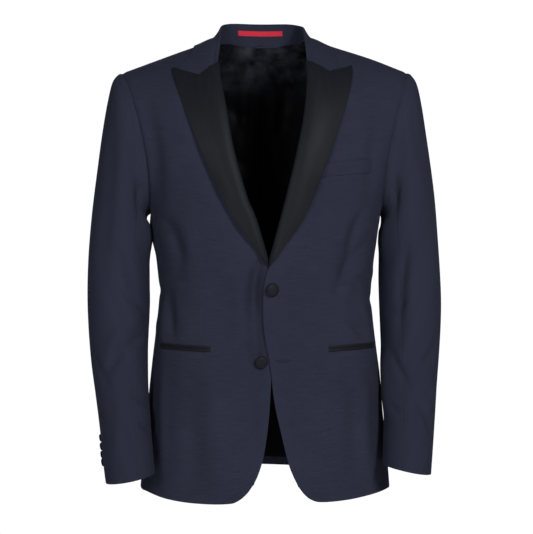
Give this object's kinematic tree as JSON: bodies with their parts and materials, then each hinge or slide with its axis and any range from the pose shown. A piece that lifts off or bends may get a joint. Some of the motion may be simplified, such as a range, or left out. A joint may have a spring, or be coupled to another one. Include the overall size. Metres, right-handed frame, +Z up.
{
  "type": "tuxedo jacket",
  "caption": "Two-button tuxedo jacket in navy wool with black satin peaked lapels, worn shape, hollow.",
  "frame": {"origin": "between the shoulders at the height of the neck, where the wearer holds it up", "axes": "+X towards the wearer's left sleeve, -Y out of the front, +Z up"},
  "size_m": [0.573, 0.2744, 0.7689],
  "materials": {
    "navy_wool": "fine plain wool with a faint slub",
    "black_satin": "satin",
    "lining": "smooth lining cloth",
    "label_red": "woven tape, blank"
  },
  "bodies": {
    "root": {"front_left": "navy_wool", "front_right": "navy_wool", "side_left": "navy_wool", "side_right": "navy_wool", "back_left": "navy_wool", "back_right": "navy_wool", "vent_underlap": "navy_wool", "top_sleeve_left": "navy_wool", "top_sleeve_right": "navy_wool", "under_sleeve_left": "navy_wool", "under_sleeve_right": "navy_wool", "collar": "navy_wool", "breast_welt": "navy_wool", "lapel_left": "black_satin", "lapel_right": "black_satin", "jet_lower_left": "black_satin", "jet_lower_right": "black_satin", "jet_upper_left": "black_satin", "jet_upper_right": "black_satin", "button_front_top": "black_satin", "button_front_lower": "black_satin", "button_cuff_left_1": "black_satin", "button_cuff_left_2": "black_satin", "button_cuff_left_3": "black_satin", "button_cuff_left_4": "black_satin", "button_cuff_right_1": "black_satin", "button_cuff_right_2": "black_satin", "button_cuff_right_3": "black_satin", "button_cuff_right_4": "black_satin", "lining_front_left": "lining", "lining_front_right": "lining", "lining_side_left": "lining", "lining_side_right": "lining", "lining_back_left": "lining", "lining_back_right": "lining", "label": "label_red"}
  },
  "joints": []
}
